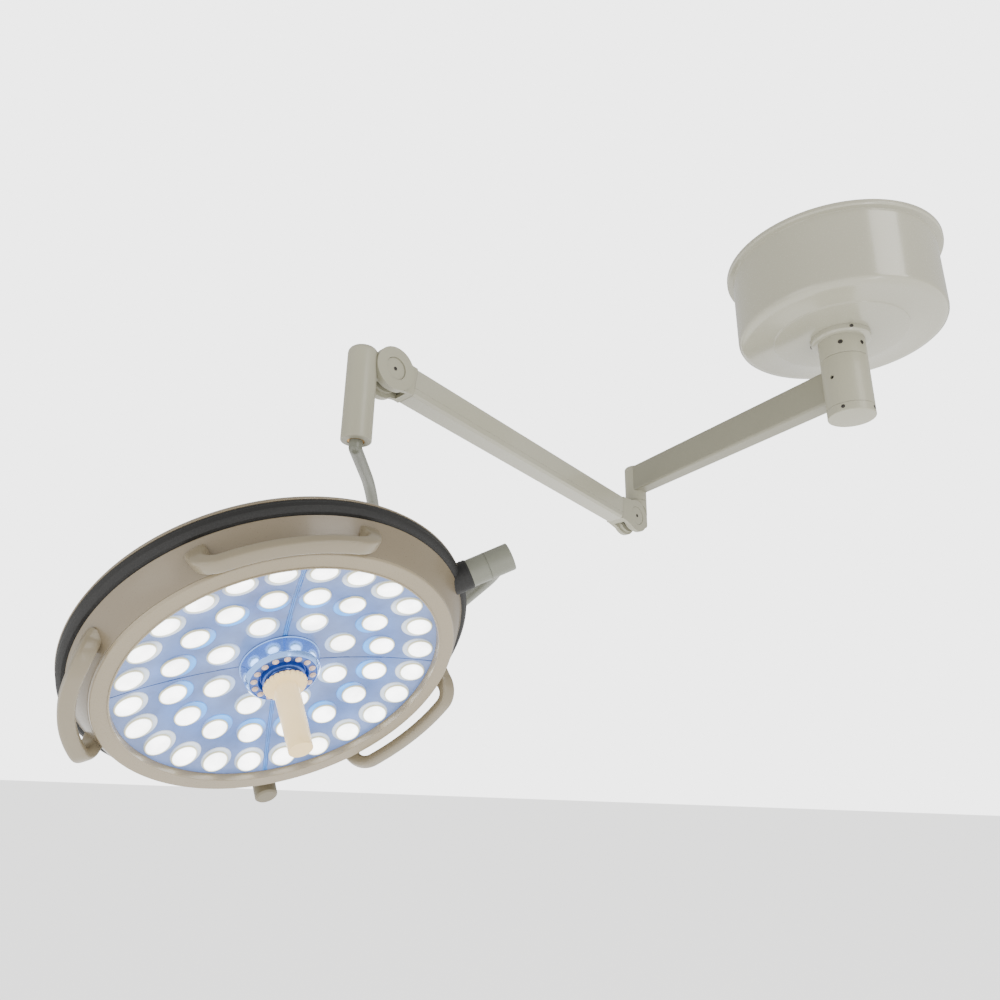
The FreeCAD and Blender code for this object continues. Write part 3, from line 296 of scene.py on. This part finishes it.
# front ring with its bright inner lip
head_lathe("front_ring", soften([(269.4, 13.9), (269.4, -0.8, 0.9), (272.0, -0.8, 0.8), (272.6, 0.9, 0.5), (296.0, 0.0, 1.8), (297.2, 1.0, 1.0), (299.2, 5.0, 0.6), (293.0, 5.0), (272.6, 6.0), (272.0, 13.9)]), "ring_plastic", rep="front_bezel", deg=40)
# dark seal with a fine double step
head_lathe("seal_band", soften([(319.0, 52.1), (335.5, 52.1, 1.0), (340.0, 55.0), (343.0, 59.0, 1.5), (343.3, 66.0), (342.6, 66.8), (343.3, 67.6), (343.3, 71.6, 0.8), (341.5, 73.0), (319.0, 73.0)]), "gasket_rubber", rep="seam_gasket", deg=40)

# back shell, doubly curved dome with a rolled edge
bk = [(344.0, 73.1), (344.0, 75.6), (340.5, 82.0), (331.0, 91.0), (318.0, 99.5), (300.0, 106.6), (280.0, 114.5), (262.0, 121.4), (244.0, 127.5), (224.0, 132.5), (204.0, 136.6), (184.0, 140.4), (168.0, 143.0), (152.0, 144.9), (130.0, 145.8), (90.0, 146.0), (0.0, 146.0)]
head_lathe("back_shell", [(332.0, 73.1), (342.6, 73.1), (343.6, 73.5), (344.0, 74.5)] + bk[1:] + [(0.0, 143.0), (150.0, 142.0), (248.0, 122.0), (323.0, 93.0), (332.0, 78.0)], "head_plastic", rep="back_cover", deg=50)

# dimmer bracket tongue on the back shell
def tongue():
    V_, F_ = [], []
    pts = []
    for k in range(25):
        a = math.radians(-90 + 180 * k / 24)
        pts.append((358 + 21 * math.cos(a), 21 * math.sin(a)))
    pts += [(322, 21), (322, -21)]
    ring_sets = [(1.0, 66.6), (0.0, 67.6), (0.0, 73.4), (1.2, 74.8)]
    n = len(pts)
    cx = 345.0
    for ins, z in ring_sets:
        for x, y in pts:
            d = Vector((x - cx, y)); L = d.length
            q = d * ((L - ins) / L)
            V_.append((cx + q.x, q.y, z))
    for j in range(len(ring_sets) - 1):
        for k in range(n):
            F_.append((j * n + k, j * n + (k + 1) % n, (j + 1) * n + (k + 1) % n, (j + 1) * n + k))
    F_.append(tuple(range(n))); F_.append(tuple(range(3 * n, 4 * n)))
    return V_, F_
tv, tf = tongue()
o = link("dimmer_bracket", mesh_from(tv, tf, HM @ Matrix.Rotation(math.radians(-244), 4, "Z")), "head_plastic", "head")

# ------------------------------------------------------------------ light panel
SEAM0 = -62.0
def zpan(r):
    return 50.0 - 30.0 * (r / 250.0) ** 2.2
LENS = [(n, r, SEAM0 + off + 360.0 * k / n) for n, r, off in ((24, 243.0, 7.5), (16, 176.0, 11.25), (8, 110.0, 22.5)) for k in range(n)]
C_BASE = Vector((0.050, 0.145, 0.46))
C_PALE = Vector((0.135, 0.215, 0.47))
C_VIVID = Vector((0.08, 0.30, 0.85))
C_GLOW = Vector((0.05, 0.36, 1.0))
def panel():
    wide = (0, 2)
    angs = [i * 0.75 for i in range(480)]
    extra = []
    for k in range(4):
        c = SEAM0 + 90 * k
        for d in (0.0, 0.14, 0.28, 0.42, 0.85, 1.0, 1.15, 1.3):
            extra += [(c + d) % 360, (c - d) % 360]
    angs = sorted(set([round(a % 360, 3) for a in angs + extra]))
    rad = [68.0, 69.5] + [72 + 3.0 * i for i in range(66)] + [269.5, 271.5]
    V_, T_, F_ = [], [], []
    for r in rad:
        for a in angs:
            dz = 0.0
            tone = C_BASE.copy()
            # paler towards the outer row, more saturated near the middle row, with a wavy lighter and darker ripple:
            # painted reflections on the blue dish
            w = math.exp(-((r - 176) / 42.0) ** 2)
            tone = C_PALE * (1 - 0.75 * w) + C_BASE * (0.75 * w)
            reflection_ripple = 0.5 + 0.5 * math.sin(math.radians(a * 3 + r * 1.7)) * math.cos(math.radians(a * 5 - r * 0.9))
            tone = tone * (0.86 + 0.26 * reflection_ripple)
            for k in range(4):
                d = (a - (SEAM0 + 90 * k) + 180) % 360 - 180
                s = math.radians(abs(d)) * r
                if k in wide:
                    if s < 4.2:
                        if 2.5 < s < 3.9 or s < 0.5:
                            dz = 1.5; tone = Vector((0.05, 0.13, 0.38))
                        else:
                            dz = 0.5; tone = C_VIVID * 0.75
                else:
                    if s < 0.9:
                        dz = 1.6; tone = Vector((0.03, 0.06, 0.20))
            V_.append((r * math.cos(math.radians(a)), r * math.sin(math.radians(a)), zpan(r) + dz))
            T_.append(tone)
    n = len(angs)
    N = len(V_)
    V_ += [(x, y, z + 2.4) for (x, y, z) in V_]
    T_ += list(T_)
    m = len(rad)
    for i in range(m - 1):
        for k in range(n):
            k2 = (k + 1) % n
            F_.append((i * n + k, (i + 1) * n + k, (i + 1) * n + k2, i * n + k2))
            F_.append((N + i * n + k, N + i * n + k2, N + (i + 1) * n + k2, N + (i + 1) * n + k))
    for k in range(n):
        k2 = (k + 1) % n
        F_.append((k, k2, N + k2, N + k))
        F_.append(((m - 1) * n + k, N + (m - 1) * n + k, N + (m - 1) * n + k2, (m - 1) * n + k2))
    return V_, F_, T_
pv, pf, pt = panel()
o = link("light_dish", mesh_from(pv, pf, HM, tones=pt, deg=60), "panel_blue", "head")
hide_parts("light_panels")

def lens_mat(r, a, dr=0.0, lift=0.0):
    """Local frame of a lens: +Z out of the panel, +X away from the hub."""
    rr = r + dr
    z = zpan(rr)
    dz = (zpan(rr + 1) - zpan(rr - 1)) / 2.0
    nrm = Vector((dz, 0, -1)).normalized()
    x = Vector((1, 0, dz)).normalized()
    y = nrm.cross(x)
    m = Matrix(((x.x, y.x, nrm.x, rr), (x.y, y.y, nrm.y, 0), (x.z, y.z, nrm.z, z), (0, 0, 0, 1)))
    return Matrix.Rotation(math.radians(a), 4, "Z") @ m @ Matrix.Translation((0, 0, lift))

# reflector wells: a shallow dished cup around each lens, with a painted reflection glow strongest towards the hub
Vw, Fw, Tw = [], [], []
for n_, r_, a_ in LENS:
    m = lens_mat(r_, a_, -6.5 if n_ == 16 else -4.0)
    seg = 40
    prof = [(0.0, 0.6), (17.0, 0.7), (22.0, 0.9), (25.4, 1.3), (26.6, 1.5), (27.4, 0.2)]
    Vl, Fl = lathe(prof, seg, closed=False)
    base = len(Vw)
    for p in Vl:
        q = m @ Vector(p)
        Vw.append(q)
        rho = math.hypot(p[0], p[1]) / 27.4
        side = -p[0] / max(1e-6, math.hypot(p[0], p[1]))     # 1 on the hub side
        # g weights the painted reflection crescent on the hub side
        g = max(0.0, side) ** 0.8 * min(1.0, rho * 1.4)
        if n_ == 16:
            c = C_PALE.lerp(C_GLOW * 0.95, g)
        elif n_ == 8:
            c = Vector((0.33, 0.43, 0.62)).lerp(Vector((0.42, 0.55, 0.80)), g)
        else:
            c = Vector((0.36, 0.42, 0.55)).lerp(Vector((0.55, 0.62, 0.72)), g)
        if rho > 0.96:
            c = c * 0.75
        Tw.append(c)
    Fw += [tuple(i + base for i in f) for f in Fl]
o = link("reflector_wells", mesh_from(Vw, Fw, HM, tones=Tw, deg=60), "well", "head")

# lens cells: moulded dome on a low cream collar
Vw, Fw, Tw = [], [], []
for n_, r_, a_ in LENS:
    m = lens_mat(r_, a_)
    seg = 48
    prof = [(22.4, 0.3), (22.6, 2.2), (22.3, 3.2), (21.7, 3.7), (21.0, 3.6), (20.6, 3.2), (20.2, 3.5), (17.6, 4.6), (13.0, 5.7), (8.0, 6.5), (3.5, 6.8), (0.0, 6.9)]
    Vl, Fl = lathe(prof, seg, closed=False)
    base = len(Vw)
    for p in Vl:
        Vw.append(m @ Vector(p))
        rho = math.hypot(p[0], p[1])
        if rho > 20.5:
            c = Vector((0.20, 0.19, 0.12)) if rho > 22.0 else Vector((0.30, 0.29, 0.20))
        else:
            t = rho / 20.5
            c = Vector((1.0, 1.0, 1.0)).lerp(Vector((0.80, 0.86, 0.92)), max(0.0, (t - 0.75) * 3.0))
        Tw.append(c)
    Fw += [tuple(i + base for i in f) for f in Fl]
o = link("lens_array", mesh_from(Vw, Fw, HM, tones=Tw, deg=40), "lens_clear", "head")
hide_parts("lens_cells")

# ------------------------------------------------------------------ hub
head_lathe("hub_wall", soften([(68.2, 47.5), (68.6, 46.2, 0.4), (66.8, 45.4), (66.0, 40.0), (65.2, 30.0), (63.6, 20.5, 3), (58.4, 14.0, 1.5), (56.6, 13.7), (56.0, 15.5), (56.0, 47.5)]), "hub_metal", rep="hub_housing", deg=35, seg=160)
head_lathe("hub_face", soften([(56.4, 15.6), (55.4, 14.6, 0.6), (42.6, 14.9, 0.8), (41.8, 17.0), (38.6, 22.0, 1.0), (37.5, 22.0), (36.2, 12.4, 1.5), (33.0, 11.0), (31.5, 12.6), (29.5, 12.6), (28.5, 10.4), (26.2, 10.4), (26.2, 26.0), (56.4, 26.0)]), "hub_dark", deg=35, seg=160)
Vw, Fw = [], []
for k in range(16):
    p0 = polar(49.5, 5 + 22.5 * k, 0)
    prof = [(5.6, 15.2), (5.6, 13.4), (5.1, 12.8), (4.3, 12.8), (4.1, 13.4), (3.9, 12.2), (3.0, 11.0), (1.6, 10.3), (0.0, 10.1)]
    Vl, Fl = lathe(prof, 24, closed=False)
    base = len(Vw)
    Vw += [(p[0] + p0.x, p[1] + p0.y, p[2]) for p in Vl]
    Fw += [tuple(i + base for i in f) for f in Fl]
o = link("hub_lamp_domes", mesh_from(Vw, Fw, HM, deg=35), "lamp", "head")
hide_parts("hub_lamps")

# ------------------------------------------------------------------ sterile handle
def handle():
    prof = soften([(0.0, -126.0), (17.6, -126.0), (19.6, -126.0, 1.6), (20.1, -100.0), (20.8, -60.0), (21.6, -12.0), (22.2, -8.0, 2), (28.0, -6.6), (34.6, -4.6, 1.0), (37.0, -1.0, 1.4), (37.0, 2.3, 0.8), (15.0, 2.3), (14.5, -92.0), (0.0, -92.0)])
    seg = 192
    V_, F_ = lathe(prof, seg, closed=False)
    out = []
    for p in V_:
        r = math.hypot(p[0], p[1])
        if r > 30:
            a = math.degrees(math.atan2(p[1], p[0]))
            w = abs(math.sin(math.radians((a - 3) * 12)))      # 24 scallops
            cut = 2.4 * (1 - min(1.0, w * 1.5)) ** 0.6 * min(1.0, (r - 30) / 5)
            s = (r - cut) / r
            out.append((p[0] * s, p[1] * s, p[2]))
        else:
            out.append(p)
    return out, F_
hv, hf = handle()
o = link("sterile_grip", mesh_from(hv, hf, HM, deg=38), "handle_plastic", "sterile_handle")
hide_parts("sterile_handle")

# ------------------------------------------------------------------ carry handles
def carry(centre):
    """Bar swept along the rim with both ends turned back into the side wall."""
    path = []
    rc, zc, A, zl = 328.0, -9.5, 23.2, 34.0
    steps = []
    for k in range(4):
        steps.append((-A + 0.12 * k, zl - 3.0 * k, "leg"))
    nb = 16
    z0 = zl - 12.0
    for k in range(nb + 1):
        th = math.pi / 2 * k / nb
        steps.append((-A + 0.48 + 6.2 * (1 - math.cos(th)), z0 - (z0 - zc) * math.sin(th), "bend"))
    a1 = A - 6.68
    for k in range(1, 40):
        steps.append((-a1 + 2 * a1 * k / 40, zc, "bar"))
    steps += [(-d, z, kind) for (d, z, kind) in reversed(steps[:4 + nb + 1])]
    P = []
    for (d, z, kind) in steps:
        leg = max(0.0, min(1.0, (z - zc) / (zl - zc)))
        r = rc + (314.0 - rc) * leg ** 1.3
        P.append((Vector(polar(r, centre + d, z)), leg, centre + d))
    V_, F_ = [], []
    ns = 28
    for i, (p, leg, ang) in enumerate(P):
        t = (P[min(i + 1, len(P) - 1)][0] - P[max(i - 1, 0)][0]).normalized()
        rad = polar(1.0, ang)
        rad = (rad - t * rad.dot(t)).normalized()
        bi = t.cross(rad)
        hw = 12.6 + 1.0 * leg            # half width, radial
        hh = 9.4 + 8.0 * leg ** 1.2       # half thickness
        for k in range(ns):
            a = 2 * math.pi * k / ns
            e = 2.0 / 4.2
            cx = math.copysign(abs(math.cos(a)) ** e, math.cos(a)) * hw
            cy = math.copysign(abs(math.sin(a)) ** e, math.sin(a)) * hh
            V_.append(p + rad * cx + bi * cy)
    m = len(P)
    for i in range(m - 1):
        for k in range(ns):
            F_.append((i * ns + k, i * ns + (k + 1) % ns, (i + 1) * ns + (k + 1) % ns, (i + 1) * ns + k))
    F_.append(tuple(range(ns))); F_.append(tuple(range((m - 1) * ns, m * ns)))
    return V_, F_
for i, c in enumerate((-68.0, -152.0, 63.0)):
    cv, cf = carry(c)
    o = link("carry_grip_%d" % (i + 1), mesh_from(cv, cf, HM, deg=50), "grip_plastic", "head")
    if i == 0:
        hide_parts("carry_handles")
    # the legs thicken where the handle meets the wall, in the same mesh as the bar

# ------------------------------------------------------------------ canopy
MM = Matrix.Scale(0.001, 4)
cp = soften([(44.2, -174.6), (48.0, -174.7), (122.5, -172.6), (125.2, -172.3, 0.8), (126.4, -170.3, 0.8), (128.4, -169.6), (176.0, -169.9), (183.0, -169.4), (188.0, -167.6), (191.6, -164.4), (193.4, -160.2), (194.0, -155.0), (194.0, -16.0), (194.6, -13.4, 0.8), (203.6, -12.2, 1.6), (206.0, -9.5, 1.4), (206.0, -2.5, 1.6), (204.0, -0.6), (203.0, -0.6), (203.0, -9.0), (191.0, -10.0), (191.0, -150.0), (186.0, -163.0), (176.0, -166.8), (128.0, -166.8), (124.0, -169.0), (44.2, -171.0)])
Vc, Fc = lathe(cp, 320)
o = link("canopy_shell", mesh_from(Vc, Fc, MM, deg=42), "canopy_plastic", "ceiling")
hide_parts("ceiling_canopy")
cr = soften([(43.8, -174.4), (55.6, -174.4, 0.6), (55.7, -184.0, 2.0), (53.6, -187.2, 1.6), (52.0, -188.0), (43.8, -188.0)])
Vc, Fc = lathe(cr, 200)
o = link("canopy_collar_ring", mesh_from(Vc, Fc, MM, deg=42), "canopy_plastic", "ceiling")
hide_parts("canopy_collar")
# three sunk screws around the collar
for a in (-95, 25, 145):
    Vs, Fs = lathe([(0.0, 1.2), (1.1, 1.2), (1.3, 2.4), (3.0, 2.4), (3.5, 1.9), (3.5, -2.0), (0.0, -2.0)], 36, closed=False)
    q = polar(55.3, a, -180.5)
    d = polar(1, a)
    t = Vector((-d.y, d.x, 0))
    mt = MM @ Matrix(((t.x, 0, d.x, q.x), (t.y, 0, d.y, q.y), (0, 1, 0, q.z), (0, 0, 0, 1)))
    link("collar_screw", mesh_from(Vs, Fs, mt, deg=35), "steel_dark", "ceiling")

# ------------------------------------------------------------------ pivot seal between shell and collar
o = None
XF = HM @ Matrix(((0, 0, 1, 0), (1, 0, 0, 0), (0, 1, 0, 65.84), (0, 0, 0, 1)))
sp = soften([(12.95, 322.0), (26.4, 322.0), (27.0, 340.0, 1.0), (26.4, 346.0), (27.2, 349.0), (26.2, 352.0), (26.8, 355.0, 0.8), (25.6, 358.1), (12.95, 358.1)])
Vc, Fc = lathe(sp, 120)
o = link("pivot_seal", mesh_from(Vc, Fc, XF, deg=42), "gasket_rubber", "head")
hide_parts("tilt_gasket")

# ------------------------------------------------------------------ remaining nodes: finished copies
done = {"ceiling_canopy", "canopy_collar", "tilt_gasket", "head_housing", "front_bezel", "seam_gasket", "back_cover", "light_panels", "lens_cells", "hub_housing", "hub_lamps", "sterile_handle", "carry_handles"}
hidden_inside = {"balance_spring", "spring_rod", "spring_fittings", "led_carrier", "led_emitters", "heat_sink", "head_chassis", "knee_bushes", "arm_bushes", "elbow_bushes", "roll_bush", "tilt_bush", "spring_arm_beam", "parallel_link", "link_pin_lower", "link_pin_upper", "power_supply", "hinge_pins", "tilt_shaft", "spindle_nut"}
for n in sorted(nodes):
    if n in done:
        continue
    if n in hidden_inside:
        mesh = nodes[n].data
        for s in nodes[n].material_slots:
            s.link = "OBJECT"
            s.material = M[slot_of_node[n]]
        if not nodes[n].material_slots:
            mesh.materials.append(M[slot_of_node[n]])
        continue
    remake(n)

# ------------------------------------------------------------------ stage
fl = bpy.data.meshes.new("floor")
Z = -2.05
fl.from_pydata([(-90, -90, Z), (90, -90, Z), (90, 90, Z), (-90, 90, Z)], [], [(0, 1, 2, 3)])
floor = bpy.data.objects.new("floor", fl)
bpy.context.scene.collection.objects.link(floor)
fm = finish_mat("floor", (0.95, 0.95, 0.945), 0.8, bump=0.02, grain=60, var=0.01, emit=(1, 1, 1), emit_s=1.3)
fl.materials.append(fm)

w = bpy.data.worlds.new("studio")
bpy.context.scene.world = w
w.use_nodes = True
w.node_tree.nodes["Background"].inputs["Color"].default_value = (1.0, 0.995, 0.985, 1)
bg = w.node_tree.nodes["Background"]
bg.inputs["Strength"].default_value = 0.85
# the backdrop shows as plain white; the light it gives stays soft
bg2 = w.node_tree.nodes.new("ShaderNodeBackground")
bg2.inputs["Color"].default_value = (1, 1, 1, 1); bg2.inputs["Strength"].default_value = 4.0
lp = w.node_tree.nodes.new("ShaderNodeLightPath")
mixw = w.node_tree.nodes.new("ShaderNodeMixShader")
w.node_tree.links.new(lp.outputs["Is Camera Ray"], mixw.inputs["Fac"])
w.node_tree.links.new(bg.outputs["Background"], mixw.inputs[1])
w.node_tree.links.new(bg2.outputs["Background"], mixw.inputs[2])
w.node_tree.links.new(mixw.outputs["Shader"], w.node_tree.nodes["World Output"].inputs["Surface"])

def area(name, loc, target, size, power, color=(1, 1, 1), size_y=None):
    l = bpy.data.lights.new(name, "AREA")
    l.energy = power; l.color = color; l.size = size
    if size_y:
        l.shape = "RECTANGLE"; l.size_y = size_y
    o = bpy.data.objects.new(name, l)
    bpy.context.scene.collection.objects.link(o)
    o.location = loc
    d = Vector(target) - Vector(loc)
    o.rotation_euler = d.to_track_quat("-Z", "Y").to_euler()
    return o
area("key", (1.6, -2.6, 0.9), (-0.4, 0.2, -0.4), 1.6, 45, (1.0, 0.98, 0.95))
area("fill", (-3.2, -2.0, -0.4), (-0.8, 0.0, -0.8), 2.0, 22, (1.0, 0.97, 0.93))
area("strip", (0.6, -1.8, -1.7), (0.0, 0.1, -0.2), 0.25, 7, (1, 1, 1), size_y=1.6)
